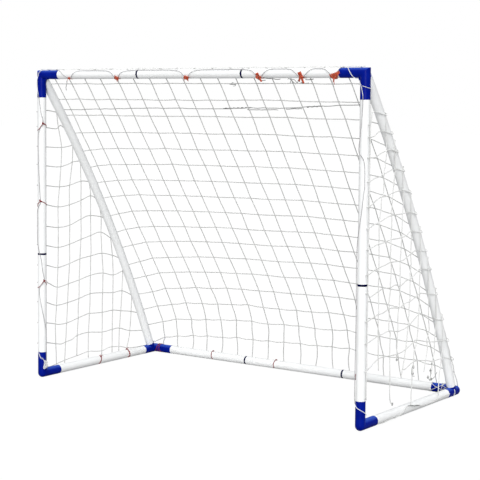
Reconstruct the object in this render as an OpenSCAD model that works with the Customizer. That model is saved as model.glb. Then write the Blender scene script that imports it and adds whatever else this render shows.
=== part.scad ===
// Push-fit practice goal: plastic tubes on corner fittings, with a knotted net tied to the frame.
// Millimetres, +Z up, the mouth faces -Y. The origin is on the ground under the middle of the goal.

/* [Goal] */
// Overall width over the corner fittings
goal_w = 1500; // [1200:5:1900]
// Overall height of the frame above the ground
goal_h = 1220; // [1000:5:1400]
// Overall depth of the frame on the ground
goal_d = 750; // [600:5:900]

/* [Tubes] */
// Outer diameter of every tube
tube_od = 34; // [30:0.5:38]
// Wall thickness of every tube
tube_wall = 2; // [1.6:0.1:2.6]
// Distance between the two joint rings of the crossbar
bar_middle = 475; // [380:5:600]
// Distance between the two joint rings of the rear ground bar
rear_middle = 475; // [380:5:600]
// Height of the joint ring of each upright above the ground
upright_joint_z = 495; // [400:5:620]

/* [Stays] */
// How far each stay bows out from the straight line between its ends
stay_bow = 44; // [30:1:60]
// How far in front of the rear bar each stay comes down
stay_inset = 28; // [26:1:36]

/* [Fittings] */
// How much further out the fittings stand than the tubes
fitting_lip = 0.5; // [0.3:0.1:0.8]
// Depth of the flat moulded under each fitting that stands on the ground
foot_cut = 0.3; // [0.25:0.05:0.5]
// Length of the crossbar leg of a top corner, from the upright's axis
top_leg_x = 95; // [80:1:110]
// Length of the upright leg of a top corner, from the crossbar's axis
top_leg_z = 89; // [76:1:100]
// Height of the upright leg of a front corner, from the ground tube's axis
front_leg_z = 85; // [66:1:95]
// Length of the ground leg of a front corner, from the upright's axis
front_leg_y = 92; // [80:1:120]
// Length of the rear bar leg of a rear corner, from the side tube's axis
rear_leg_x = 95; // [80:1:110]
// Length of the side leg of a rear corner, from the rear bar's axis
rear_leg_y = 82; // [62:1:95]
// Radius of the web in the inner corner of a top fitting
gusset_r = 16; // [10:1:22]
// Thickness of that web
gusset_t = 10; // [6:1:14]

/* [Push fits] */
// Length of each hidden spigot inside its tube
spigot_len = 40; // [28:1:50]
// Wall thickness of a hollow spigot
spigot_wall = 3; // [2:0.5:4]
// Radial play of a spigot in its tube
spigot_play = 0.4; // [0.3:0.05:0.6]
// Gap between a tube's end and the shoulder that it is pushed against
seat_gap = 0.3; // [0.2:0.05:0.3]
// Width of the ring of an in-line joint
ring_w = 5; // [3:0.5:8]

/* [Net] */
// Size of one mesh of the net
mesh = 98; // [94:1:120]
// Thickness of the net's twine
twine = 3; // [2.5:0.5:4]
// Height of the net's lower edge above the ground
net_hem_z = 4; // [3:0.5:8]

/* [Cord and ties] */
// Thickness of the cord along the net's mouth edge
cord_d = 3; // [2.5:0.5:4]
// Thickness of a tie band
tie_t = 1; // [0.8:0.1:1.4]
// Width of a tie band
tie_w = 5; // [4:0.5:7]
// Diameter of a tie's knot
knot_d = 9; // [7:0.5:10]
// Radial play of a soft piece on what it is wrapped round
soft_gap = 0.3; // [0.2:0.05:0.3]
// Angle round the tube from the cord down to a tie's knot
knot_turn = 24; // [22:1:30]

/* [Hidden] */

round_fn = 64;
arc_fn = 360;    // a stay's bend is a small part of a large circle
knot_fn = 24;
eps = 0.01;
far = 3000;      // half-spaces that cut the foot flats

// Radii across a tube, a fitting and its spigot
tube_r = tube_od / 2;
bore_r = tube_r - tube_wall;
body_r = tube_r + fitting_lip;
spigot_r = bore_r - spigot_play;
hollow_r = spigot_r - spigot_wall;

// Soft pieces lie on the fittings and the tie bands
band_r = body_r + soft_gap / 2 + tie_t;
soft_r = band_r + soft_gap;
cord_r = soft_r + cord_d / 2;
net_r = soft_r + twine / 2;

// Axes of the frame
side_x = goal_w / 2 - body_r;
ground_z = body_r - foot_cut;
bar_z = goal_h - body_r;
frame_run = goal_d - 2 * body_r;
front_y = (cord_d - twine) / 2 - frame_run / 2;
rear_y = front_y + frame_run;

// Each stay is one arc in its side plane, given as [y, z] points and angles above +Y
stay_top = [front_y, bar_z];
stay_foot = [rear_y - stay_inset, ground_z];
stay_chord = norm(stay_foot - stay_top);
stay_along = (stay_foot - stay_top) / stay_chord;
stay_out = [-stay_along[1], stay_along[0]];
stay_r = (stay_chord * stay_chord / 4 + stay_bow * stay_bow) / (2 * stay_bow);
stay_centre = (stay_top + stay_foot) / 2 - stay_out * (stay_r - stay_bow);
function turn_of(p) = atan2(p[1] - stay_centre[1], p[0] - stay_centre[0]);
stay_top_turn = turn_of(stay_top);
stay_foot_turn = turn_of(stay_foot);
// Where a stay comes clear of the leg that it branches from
stay_top_reach = (tube_r * cos(stay_top_turn) + body_r + seat_gap) / sin(stay_top_turn);
stay_foot_reach = (tube_r * sin(stay_foot_turn) + body_r + seat_gap) / cos(stay_foot_turn);
function arc_turn(len) = len / stay_r * 180 / PI;
stay_top_mouth = stay_top_turn - arc_turn(stay_top_reach);
cope_reach = stay_top_reach + 2 * body_r;
stay_foot_mouth = stay_foot_turn + arc_turn(stay_foot_reach);
function stay_point(turn, r) = stay_centre + r * [cos(turn), sin(turn)];

// Path of the back net in [y, z]: over the crossbar, down the stays, straight to the rear bar and
// round behind it. Each function takes the distance along the path.
net_start = 97;  // degrees above +Y, just over the top of the crossbar
rear_centre = [rear_y, ground_z];
rear_far = norm(rear_centre - stay_centre);
leave_turn = turn_of(rear_centre) + acos(stay_r / rear_far);
net_stop = -asin((ground_z - net_hem_z - twine / 2) / net_r);
bar_wrap = net_r * (net_start - stay_top_turn) * PI / 180;
stay_run = (stay_r + net_r) * (stay_top_turn - leave_turn) * PI / 180;
free_run = sqrt(rear_far * rear_far - stay_r * stay_r);
rear_wrap = net_r * (leave_turn - net_stop) * PI / 180;
at_stay = bar_wrap;
at_free = at_stay + stay_run;
at_rear = at_free + free_run;
net_length = at_rear + rear_wrap;
function net_turn(s) =
    s < at_stay ? net_start - s / net_r * 180 / PI :
    s < at_free ? stay_top_turn - (s - at_stay) / (stay_r + net_r) * 180 / PI :
    s < at_rear ? leave_turn :
    leave_turn - (s - at_rear) / net_r * 180 / PI;
// The point at distance s along the path, moved out by lift
function net_point(s, lift) =
    let (turn = net_turn(s), out = [cos(turn), sin(turn)])
    s < at_stay ? stay_top + (net_r + lift) * out :
    s < at_free ? stay_centre + (stay_r + net_r + lift) * out :
    s < at_rear ? stay_centre + (stay_r + net_r + lift) * out + (s - at_free) * [sin(turn), -cos(turn)] :
    rear_centre + (net_r + lift) * out;

// Meshes of the two nets
side_net_in = side_x + soft_r;
back_half = side_net_in - soft_gap;
cols = round((2 * back_half - twine) / mesh);
rows = round((net_length - twine) / mesh);
wrap_steps = 3;

module tube(len) {
    difference() {
        cylinder(h = len, r = tube_r, $fn = round_fn);
        translate([0, 0, -eps]) cylinder(h = len + 2 * eps, r = bore_r, $fn = round_fn);
    }
}
module tube_x(from, to) {
    translate([from, 0, 0]) rotate([0, 90, 0]) tube(to - from);
}
module tube_y(from, to) {
    translate([0, from, 0]) rotate([-90, 0, 0]) tube(to - from);
}
module tube_z(from, to) {
    translate([0, 0, from]) tube(to - from);
}

// Straight tubes: each ends a seat gap short of its shoulder
bar_end = side_x - top_leg_x - seat_gap;
rear_end = side_x - rear_leg_x - seat_gap;
ring_seat = ring_w / 2 + seat_gap;
module at_bar() { translate([0, front_y, bar_z]) children(); }
module at_rear_bar() { translate([0, rear_y, ground_z]) children(); }
module at_side(side) { translate([side * side_x, 0, 0]) children(); }

module crossbar_left() { color("white") at_bar() tube_x(-bar_end, -bar_middle / 2 - ring_seat); }
module crossbar_middle() {
    color("white") at_bar() tube_x(ring_seat - bar_middle / 2, bar_middle / 2 - ring_seat);
}
module crossbar_right() { color("white") at_bar() tube_x(bar_middle / 2 + ring_seat, bar_end); }

module rear_bar_left() { color("white") at_rear_bar() tube_x(-rear_end, -rear_middle / 2 - ring_seat); }
module rear_bar_middle() {
    color("white") at_rear_bar() tube_x(ring_seat - rear_middle / 2, rear_middle / 2 - ring_seat);
}
module rear_bar_right() { color("white") at_rear_bar() tube_x(rear_middle / 2 + ring_seat, rear_end); }

module upright_lower(side) {
    color("white") at_side(side) translate([0, front_y, 0])
        tube_z(ground_z + front_leg_z + seat_gap, upright_joint_z - ring_seat);
}
module upright_upper(side) {
    color("white") at_side(side) translate([0, front_y, 0])
        tube_z(upright_joint_z + ring_seat, bar_z - top_leg_z - seat_gap);
}
module side_base(side) {
    color("white") at_side(side) translate([0, 0, ground_z])
        tube_y(front_y + front_leg_y + seat_gap, rear_y - rear_leg_y - seat_gap);
}

// A bent stay: its upper end is coped to sit round the legs of the top corner
module stay(side) {
    from = stay_foot_mouth + arc_turn(seat_gap);
    color("white") at_side(side) difference() {
        translate([0, stay_centre[0], stay_centre[1]]) rotate([90, 0, 90]) rotate([0, 0, from])
            rotate_extrude(angle = stay_top_turn - from, $fn = arc_fn) translate([stay_r, 0]) difference() {
                circle(r = tube_r, $fn = round_fn);
                circle(r = bore_r, $fn = round_fn);
            }
        translate([0, front_y, bar_z]) {
            cylinder(h = 2 * cope_reach, r = body_r + seat_gap, center = true, $fn = round_fn);
            rotate([0, 90, 0]) cylinder(h = 2 * cope_reach, r = body_r + seat_gap, center = true, $fn = round_fn);
        }
    }
}

// In-line joint: a flush ring with a hollow spigot on either side
module coupler() {
    color("midnightblue") rotate([0, 90, 0]) difference() {
        union() {
            translate([0, 0, -ring_w / 2]) cylinder(h = ring_w, r = tube_r, $fn = round_fn);
            translate([0, 0, -ring_w / 2 - spigot_len])
                cylinder(h = ring_w + 2 * spigot_len, r = spigot_r, $fn = round_fn);
        }
        translate([0, 0, -ring_w / 2 - spigot_len - eps])
            cylinder(h = ring_w + 2 * (spigot_len + eps), r = hollow_r, $fn = round_fn);
    }
}
module crossbar_coupler(side) { at_bar() translate([side * bar_middle / 2, 0, 0]) coupler(); }
module rear_coupler(side) { at_rear_bar() translate([side * rear_middle / 2, 0, 0]) coupler(); }
module upright_coupler(side) {
    at_side(side) translate([0, front_y, upright_joint_z]) rotate([0, 90, 0]) coupler();
}

// One leg of a fitting along +Z: a body and then a spigot
module leg(reach, r = body_r) {
    cylinder(h = reach, r = r, $fn = round_fn);
    cylinder(h = reach + spigot_len, r = spigot_r, $fn = round_fn);
}
// The leg's hollow, from the spigot's end back to the given distance from the corner
module leg_hollow(reach, start) {
    translate([0, 0, start]) cylinder(h = reach + spigot_len + eps - start, r = hollow_r, $fn = round_fn);
}
leg_floor = body_r + spigot_wall;
module to_minus_x() { rotate([0, -90, 0]) children(); }
module to_minus_y() { rotate([90, 0, 0]) children(); }
module to_plus_y() { rotate([-90, 0, 0]) children(); }
module to_minus_z() { rotate([180, 0, 0]) children(); }
// Direction of a stay at one of its mouths: down and back from the top, up and forward from the foot
module down_stay() { rotate([stay_top_mouth - 180, 0, 0]) children(); }
module up_stay() { rotate([stay_foot_mouth, 0, 0]) children(); }
module foot_flat() {
    translate([-far / 2, -far / 2, -ground_z - far]) cube([far, far, far]);
}

// Web between two legs at right angles, in the plane of local +X and +Y
module gusset() {
    outer = body_r + gusset_r;
    translate([0, 0, -gusset_t / 2]) linear_extrude(gusset_t) difference() {
        square(outer);
        translate([outer, outer]) circle(r = gusset_r, $fn = round_fn);
    }
}

// Top corner on the right: crossbar leg, upright leg and the stay's spigot, with a square outer corner
module corner_top(side) {
    color("mediumblue") translate([side * side_x, front_y, bar_z]) mirror([side < 0 ? 1 : 0, 0, 0])
        difference() {
            union() {
                to_minus_x() leg(top_leg_x);
                to_minus_z() leg(top_leg_z);
                down_stay() cylinder(h = stay_top_reach + spigot_len, r = spigot_r, $fn = round_fn);
                intersection() {
                    to_minus_x() cylinder(h = 2 * body_r, r = body_r, center = true, $fn = round_fn);
                    cylinder(h = 2 * body_r, r = body_r, center = true, $fn = round_fn);
                }
                rotate([90, 180, 0]) gusset();
            }
            to_minus_x() leg_hollow(top_leg_x, leg_floor);
            to_minus_z() leg_hollow(top_leg_z, leg_floor);
            down_stay() leg_hollow(stay_top_reach, stay_top_reach);
        }
}

// Front corner: upright leg and ground leg round a ball, flat underneath
module corner_front(side) {
    color("mediumblue") translate([side * side_x, front_y, ground_z]) difference() {
        union() {
            leg(front_leg_z);
            to_plus_y() leg(front_leg_y);
            sphere(r = body_r, $fn = round_fn);
        }
        leg_hollow(front_leg_z, leg_floor);
        to_plus_y() leg_hollow(front_leg_y, leg_floor);
        foot_flat();
    }
}

// Rear corner on the right: rear bar leg and side leg round a ball, a stay leg, flat underneath
module corner_rear(side) {
    color("mediumblue") translate([side * side_x, rear_y, ground_z]) mirror([side < 0 ? 1 : 0, 0, 0])
        difference() {
            union() {
                to_minus_x() leg(rear_leg_x);
                to_minus_y() leg(rear_leg_y);
                sphere(r = body_r, $fn = round_fn);
                translate([0, -stay_inset, 0]) up_stay() leg(stay_foot_reach, tube_r);
            }
            to_minus_x() leg_hollow(rear_leg_x, leg_floor);
            to_minus_y() leg_hollow(rear_leg_y, rear_leg_y);
            translate([0, -stay_inset, 0]) up_stay() leg_hollow(stay_foot_reach, stay_foot_reach);
            foot_flat();
        }
}

// The back net's lattice: lines of vertices across (x) and along the path (s). A line that opens a
// strand is marked 1 and followed by the line that closes it.
col_pitch = (2 * back_half - twine) / cols;
row_pitch = (net_length - twine) / rows;
back_x = [for (i = [0 : cols]) let (x = i * col_pitch - back_half) each [[x, 1], [x + twine, 0]]];
// It is made in bands: the bend in equal ones, so that each is nearly flat, and then the straight
// part. Each band ends at a row, and the next one's columns start just under it.
bend_bands = 3;
bend_rows = floor(at_free / row_pitch);
function last_row(band) = band < bend_bands ? round(bend_rows * (band + 1) / bend_bands) : rows;
function band_lines(band) =
    let (first = band == 0 ? 0 : last_row(band - 1) + 1, last = last_row(band))
    [
        if (band > 0) [(first - 1) * row_pitch + twine + soft_gap, 0],
        for (j = [first : last]) each [
            if (j == rows) each
                [for (k = [0 : wrap_steps - 1]) [at_rear + (rear_wrap - twine) * k / wrap_steps, 0]],
            [j * row_pitch, 1],
            [j * row_pitch + twine, 0],
            if (j == 0) each
                [for (k = [1 : wrap_steps]) [twine + (bar_wrap - twine) * k / wrap_steps, 0]]
        ]
    ];

module lattice(xs, ss) {
    nx = len(xs);
    ns = len(ss);
    points = [
        for (side = [-1, 1]) for (s = ss) let (p = net_point(s[0], side * twine / 2))
            for (x = xs) [x[0], p[0], p[1]]
    ];
    function id(side, i, j) = (side * ns + j) * nx + i;
    function solid(i, j) =
        i < 0 || j < 0 || i > nx - 2 || j > ns - 2 ? false : xs[i][1] == 1 || ss[j][1] == 1;
    function quad(a, b, c, d) = [[a, b, c], [a, c, d]];
    faces = [
        for (i = [0 : nx - 2]) for (j = [0 : ns - 2]) if (solid(i, j)) each concat(
            quad(id(1, i, j), id(1, i, j + 1), id(1, i + 1, j + 1), id(1, i + 1, j)),
            quad(id(0, i, j), id(0, i + 1, j), id(0, i + 1, j + 1), id(0, i, j + 1)),
            solid(i - 1, j) ? [] : quad(id(0, i, j), id(0, i, j + 1), id(1, i, j + 1), id(1, i, j)),
            solid(i + 1, j) ? [] :
                quad(id(0, i + 1, j + 1), id(0, i + 1, j), id(1, i + 1, j), id(1, i + 1, j + 1)),
            solid(i, j - 1) ? [] : quad(id(0, i + 1, j), id(0, i, j), id(1, i, j), id(1, i + 1, j)),
            solid(i, j + 1) ? [] :
                quad(id(0, i, j + 1), id(0, i + 1, j + 1), id(1, i + 1, j + 1), id(1, i, j + 1))
        )
    ];
    polyhedron(points = points, faces = faces, convexity = 10);
}
module net_back() {
    color("gainsboro") for (band = [0 : bend_bands]) lattice(back_x, band_lines(band));
}

// Side nets are flat. The outline follows the back net, inset by the given amount.
net_front = front_y - body_r / 2;
outline_steps = 14;
function side_outline(inset) =
    let (
        lift = twine / 2 - inset,
        top = net_point(at_stay, lift)
    )
    [
        [net_front + inset, net_hem_z + inset],
        for (k = [0 : wrap_steps])
            net_point(net_length - rear_wrap * k / wrap_steps, lift) + [0, k == 0 ? inset : 0],
        for (k = [0 : outline_steps]) net_point(at_free - stay_run * k / outline_steps, lift),
        [net_front + inset, top[1] - net_r - twine / 2]
    ];
// How far back the net's inner edge is at height z
function inner_back(z) =
    let (r = stay_r + net_r - twine / 2, free = net_point(at_free, -twine / 2))
    z > free[1] ? stay_centre[0] + sqrt(r * r - pow(z - stay_centre[1], 2)) :
    free[0] + (free[1] - z) * tan(leave_turn);
least_gap = mesh / 4;
module side_net(side) {
    color("gainsboro") translate([side > 0 ? side_net_in : -side_net_in - twine, 0, 0])
        rotate([90, 0, 90]) linear_extrude(twine) difference() {
            polygon(side_outline(0));
            intersection() {
                polygon(side_outline(twine));
                for (j = [0 : floor(bar_z / mesh)]) for (i = [0 : floor(goal_d / mesh)])
                    let (y = net_front + i * mesh + twine, z = net_hem_z + j * mesh + twine)
                    if (inner_back(z) - y > least_gap && z + least_gap < bar_z)
                        translate([y, z]) square(mesh - twine);
            }
        }
}

// A cord swept along points, with an even number of sides
cord_sides = 6;
function unit(v) = v / norm(v);
module cord(points, d) {
    n = len(points);
    rings = [
        for (k = [0 : n - 1])
            let (
                along = unit(points[min(k + 1, n - 1)] - points[max(k - 1, 0)]),
                across = unit(cross(along, [0.31, 1, 0.43])),
                up = cross(across, along)
            )
            for (a = [0 : cord_sides - 1])
                points[k] + d / 2 * (across * cos(360 * a / cord_sides) + up * sin(360 * a / cord_sides))
    ];
    sides = [
        for (k = [0 : n - 2]) for (a = [0 : cord_sides - 1])
            let (b = (a + 1) % cord_sides, p = k * cord_sides, q = p + cord_sides)
            each [[p + a, q + a, q + b], [p + a, q + b, p + b]]
    ];
    first = [for (a = [1 : cord_sides - 2]) [0, a, a + 1]];
    base = (n - 1) * cord_sides;
    last = [for (a = [1 : cord_sides - 2]) [base, base + a + 1, base + a]];
    polyhedron(points = rings, faces = concat(sides, first, last), convexity = 10);
}

// Places on the front tubes, turned round the tube from straight ahead
function on_post(side, z, turn) = [side * side_x + cord_r * sin(turn), front_y - cord_r * cos(turn), z];
function on_bar(x, turn) = [x, front_y - cord_r * cos(turn), bar_z + cord_r * sin(turn)];
// Smooth curve through [place, turn] pairs, in steps between each two
function between(a, b, c, d, t) =
    b + (c - a) * t / 2 + (2 * a - 5 * b + 4 * c - d) * t * t / 2 + (3 * b - a - 3 * c + d) * t * t * t / 2;
function smooth(list, steps) =
    let (last = len(list) - 1)
    [
        for (k = [0 : last - 1]) for (i = [0 : steps - 1])
            between(list[max(k - 1, 0)], list[k], list[k + 1], list[min(k + 2, last)], i / steps),
        list[last]
    ];

// Where the ties are: along the crossbar and the rear bar from the middle, and along the left ground
// tube from the upright
bar_span = bar_end - bar_middle / 2;
bar_ties = [
    0.159 * bar_span - bar_end, 0.762 * bar_span - bar_end, -0.006 * bar_middle,
    bar_end - 0.806 * bar_span, bar_end - 0.367 * bar_span, bar_end - 0.031 * bar_span
];
base_span = frame_run - front_leg_y - rear_leg_y;
base_ties = [front_leg_y + 0.458 * base_span, front_leg_y + 0.811 * base_span];
rear_span = rear_end - rear_middle / 2;
rear_ties = [
    0.3 * rear_leg_x - side_x, 0.556 * rear_span - rear_end, -0.19 * rear_middle,
    rear_end - 0.834 * rear_span
];
// Those on the left upright, as [rise, turn] on the mouth cord's route
post_ties = [[0.3138, 65], [0.5762, 25], [0.8394, 55]];

// The mouth cord's route as [place, turn] pairs: up the left upright, along the crossbar, where it
// lies high between the ties and low at each one, and down the right upright. A rise is a share of
// the height between the ground tubes' axis and the crossbar's.
function up_post(rise) = ground_z + rise * (bar_z - ground_z);
left_route = [
    [0.0253, 95], [0.0759, 92], [0.1308, 96], [0.2109, 45], [0.2826, 8], [0.3138, 65],
    [0.3459, 48], [0.3881, 30], [0.4134, 6], [0.4471, -18], [0.5062, -22], [0.5509, -16],
    [0.5762, 25], [0.61, 18], [0.6834, 4], [0.7593, -6], [0.8099, 4], [0.8394, 55],
    [0.8732, 34], [0.9196, 12], [0.956, -14], [0.9836, -20]
];
right_route = [
    [0.966, -18], [0.9449, 3], [0.9196, 8], [0.869, 0], [0.8184, -18], [0.7804, -33],
    [0.7534, 28], [0.6876, 38], [0.6623, 30], [0.5948, 6], [0.4978, -46], [0.405, -72],
    [0.2953, -80], [0.1856, -74], [0.1012, -60], [0.0523, -36], [0.027, 50]
];
left_corner = [[3, 22], [16, 72], [50, 88], [105, 48]];
right_corner = [[96, 20], [84, 72], [66, 66], [48, 4], [35, -56], [24, -70]];
tie_turn = -45;
ramp = 38;
function climb(from, to) =
    to - from > 3 * ramp ? [[from + ramp, 32], [(from + to) / 2, 44], [to - ramp, 32]] :
    [[(from + to) / 2, 34]];
last_tie = len(bar_ties) - 1;
bar_route = concat(
    [for (p = left_corner) [p[0] - side_x, p[1]]],
    [
        for (k = [0 : last_tie])
            each concat([[bar_ties[k], tie_turn]], k < last_tie ? climb(bar_ties[k], bar_ties[k + 1]) : [])
    ],
    [for (p = right_corner) [side_x - p[0], p[1]]]
);
route_steps = 3;
mouth_points = concat(
    [for (p = smooth(left_route, route_steps)) on_post(-1, up_post(p[0]), p[1])],
    [for (p = smooth(bar_route, route_steps)) on_bar(p[0], p[1])],
    [for (p = smooth(right_route, route_steps)) on_post(1, up_post(p[0]), p[1])]
);
module mouth_cord() { color("whitesmoke") cord(mouth_points, cord_d); }

// A tie on a tube or fitting along +Z: a band, with a knot at the given turn from +X where it has one
module tie(r, turn = 0, knotted = false) {
    difference() {
        union() {
            translate([0, 0, -tie_w / 2]) cylinder(h = tie_w, r = band_r, $fn = round_fn);
            if (knotted) rotate([0, 0, turn]) translate([band_r - knot_d / 8, 0, 0])
                sphere(d = knot_d, $fn = knot_fn);
        }
        cylinder(h = 2 * knot_d, r = r + soft_gap / 2, center = true, $fn = round_fn);
    }
}
// Bands on the ground tubes stop short of the ground on either side of the tube
module above_ground() {
    difference() {
        children();
        translate([-far / 2, -far / 2, soft_gap - far]) cube([far, far, far]);
    }
}
// A tie along the goal's X, with its +X straight ahead and its +Y up
module tie_along_x() { rotate([0, -90, 0]) rotate([0, 0, -90]) children(); }

module ties_crossbar() {
    color("orangered") for (x = bar_ties) translate([x, front_y, bar_z])
        tie_along_x() tie(tube_r, tie_turn - knot_turn, true);
}
module ties_upright_left() {
    color("firebrick") for (t = post_ties) translate([-side_x, front_y, up_post(t[0])])
        tie(tube_r, t[1] - 90 + knot_turn, true);
}
module ties_side_base_left() {
    color("firebrick") above_ground() for (y = base_ties) translate([-side_x, front_y + y, ground_z])
        rotate([90, 0, 0]) tie(tube_r);
}
module ties_rear_bar() {
    color("firebrick") above_ground() for (x = rear_ties) translate([x, rear_y, ground_z])
        tie_along_x() tie(abs(x) > rear_end ? body_r : tube_r);
}
// White cord bands round the rear bar leg of the right rear corner
lashings = [30, 50, 72];
module lashings_rear_right() {
    color("whitesmoke") above_ground() for (x = lashings) translate([side_x - x, rear_y, ground_z])
        tie_along_x() tie(body_r);
}

crossbar_left();
crossbar_middle();
crossbar_right();
crossbar_coupler(-1);  // crossbar_coupler_left
crossbar_coupler(1);  // crossbar_coupler_right
upright_lower(-1);  // upright_left_lower
upright_upper(-1);  // upright_left_upper
upright_lower(1);  // upright_right_lower
upright_upper(1);  // upright_right_upper
upright_coupler(-1);  // upright_coupler_left
upright_coupler(1);  // upright_coupler_right
side_base(-1);  // side_base_left
side_base(1);  // side_base_right
rear_bar_left();
rear_bar_middle();
rear_bar_right();
rear_coupler(-1);  // rear_coupler_left
rear_coupler(1);  // rear_coupler_right
stay(-1);  // stay_left
stay(1);  // stay_right
corner_top(-1);  // corner_top_left
corner_top(1);  // corner_top_right
corner_front(-1);  // corner_front_left
corner_front(1);  // corner_front_right
corner_rear(-1);  // corner_rear_left
corner_rear(1);  // corner_rear_right
net_back();
side_net(-1);  // net_side_left
side_net(1);  // net_side_right
mouth_cord();
ties_crossbar();
ties_upright_left();
ties_side_base_left();
ties_rear_bar();
lashings_rear_right();
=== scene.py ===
import math
import random

import bpy
import numpy as np
from mathutils import Matrix, Vector


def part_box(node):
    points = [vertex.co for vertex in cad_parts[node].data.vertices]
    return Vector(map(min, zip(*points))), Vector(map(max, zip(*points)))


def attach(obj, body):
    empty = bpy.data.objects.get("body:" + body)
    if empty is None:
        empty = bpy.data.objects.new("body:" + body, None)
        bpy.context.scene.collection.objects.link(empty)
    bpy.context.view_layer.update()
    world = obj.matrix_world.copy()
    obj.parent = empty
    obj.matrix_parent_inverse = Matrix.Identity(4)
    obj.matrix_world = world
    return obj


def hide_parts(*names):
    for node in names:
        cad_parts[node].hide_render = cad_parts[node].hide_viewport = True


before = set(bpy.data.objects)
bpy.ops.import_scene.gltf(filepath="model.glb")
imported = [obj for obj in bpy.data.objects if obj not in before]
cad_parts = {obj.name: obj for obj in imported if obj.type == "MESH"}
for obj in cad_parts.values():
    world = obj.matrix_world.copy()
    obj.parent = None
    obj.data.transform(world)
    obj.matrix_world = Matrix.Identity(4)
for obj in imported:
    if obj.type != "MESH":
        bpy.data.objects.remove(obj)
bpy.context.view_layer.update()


def put_in_scene(name, data):
    obj = bpy.data.objects.new(name, data)
    bpy.context.scene.collection.objects.link(obj)
    return obj


# --- camera
PHOTO_PX, SENSOR_MM = 480, 36
FOCAL_PX = 1348.92
AZIMUTH, PITCH, ROLL = 0.616680, -0.075830, 0.008694
CAMERA_AT = (2.987455, -4.249701, 1.100594)
VIEW_AXIS_Y = 205  # the photo is a crop: its optical axis is 35 px above the middle


def make_camera():
    flat = math.cos(PITCH)
    ahead = Vector((-math.sin(AZIMUTH) * flat, math.cos(AZIMUTH) * flat, math.sin(PITCH)))
    right = Vector((math.cos(AZIMUTH), math.sin(AZIMUTH), 0))
    up = right.cross(ahead)
    c, s = math.cos(ROLL), math.sin(ROLL)
    right, up = c * right + s * up, c * up - s * right
    data = bpy.data.cameras.new("camera")
    data.sensor_width = SENSOR_MM
    data.sensor_fit = "HORIZONTAL"
    data.lens = FOCAL_PX / PHOTO_PX * SENSOR_MM
    data.shift_y = (VIEW_AXIS_Y - PHOTO_PX / 2) / PHOTO_PX
    data.clip_end = 100
    obj = put_in_scene("camera", data)
    turn = Matrix((right, up, -ahead)).transposed().to_4x4()
    obj.matrix_world = Matrix.Translation(CAMERA_AT) @ turn
    bpy.context.scene.camera = obj


make_camera()

# --- the frame's axes, from the CAD nodes


def axis_of(node, k):
    lo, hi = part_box(node)
    return (lo[k] + hi[k]) / 2


def unit(turn):
    return np.array([math.cos(turn), math.sin(turn)])


SIDE_X = axis_of("upright_right_lower", 0)
FRONT_Y = axis_of("upright_right_lower", 1)
BAR_Z = axis_of("crossbar_middle", 2)
REAR_Y = axis_of("rear_bar_middle", 1)
GROUND_Z = axis_of("rear_bar_middle", 2)
BAR_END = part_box("crossbar_right")[1][0]
BAR_JOINT = axis_of("crossbar_coupler_right", 0)
POST_JOINT = axis_of("upright_coupler_right", 2)
REAR_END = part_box("rear_bar_right")[1][0]
REAR_JOINT = axis_of("rear_coupler_right", 0)
POST_TOP = BAR_Z - GROUND_Z
TUBE_R = (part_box("crossbar_middle")[1][2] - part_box("crossbar_middle")[0][2]) / 2
BODY_R = TUBE_R + 0.0005  # a fitting's legs
NET_R = 0.02045  # the nets and the mouth cord run this far from a tube's axis
NET_END_Z = 0.0055
STAY_BOW = 0.044  # the arc's rise over its chord
STAY_INSET = 0.028  # from the rear bar's axis to the arc's foot

TWINE_R = 0.0018
HEM_R = 0.0016
CORD_R = 0.00115  # the mouth cord

# The stay's arc in its side plane, as [y, z]
TOP = np.array([FRONT_Y, BAR_Z])
FOOT = np.array([REAR_Y - STAY_INSET, GROUND_Z])
CHORD = np.linalg.norm(FOOT - TOP)
ALONG = (FOOT - TOP) / CHORD
OUT = np.array([-ALONG[1], ALONG[0]])
STAY_R = (CHORD * CHORD / 4 + STAY_BOW * STAY_BOW) / (2 * STAY_BOW)
CENTRE = (TOP + FOOT) / 2 - OUT * (STAY_R - STAY_BOW)
TOP_TURN = math.atan2(TOP[1] - CENTRE[1], TOP[0] - CENTRE[0])

# The back net's path: over the crossbar, along the stays, straight to the rear bar and round it
REAR = np.array([REAR_Y, GROUND_Z])
REAR_FAR = np.linalg.norm(REAR - CENTRE)
LEAVE_TURN = math.atan2(REAR[1] - CENTRE[1], REAR[0] - CENTRE[0]) + math.acos(STAY_R / REAR_FAR)
NET_START = math.radians(97)
NET_STOP = -math.asin((GROUND_Z - NET_END_Z) / NET_R)
AT_STAY = NET_R * (NET_START - TOP_TURN)
AT_FREE = AT_STAY + (STAY_R + NET_R) * (TOP_TURN - LEAVE_TURN)
AT_REAR = AT_FREE + math.sqrt(REAR_FAR ** 2 - STAY_R ** 2)
NET_LEN = AT_REAR + NET_R * (LEAVE_TURN - NET_STOP)


def net_turn(s):
    """The way the back net faces at distance s along its path."""
    if s < AT_STAY:
        return NET_START - s / NET_R
    if s < AT_FREE:
        return TOP_TURN - (s - AT_STAY) / (STAY_R + NET_R)
    if s < AT_REAR:
        return LEAVE_TURN
    return LEAVE_TURN - (s - AT_REAR) / NET_R


def net_point(s, lift=0.0):
    """[y, z] on the back net at distance s along its path, moved outwards by lift."""
    out = unit(net_turn(s))
    if s < AT_STAY:
        return TOP + (NET_R + lift) * out
    if s < AT_FREE:
        return CENTRE + (STAY_R + NET_R + lift) * out
    if s < AT_REAR:
        return CENTRE + (STAY_R + NET_R + lift) * out + (s - AT_FREE) * np.array([out[1], -out[0]])
    return REAR + (NET_R + lift) * out


def net_xyz(x, s, lift=0.0):
    return np.array([x, *net_point(s, lift)])


def below_bar(x, s, lift):
    """A point on the back net, s below where it meets the stays."""
    return net_xyz(x, s + AT_STAY, lift)


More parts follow.
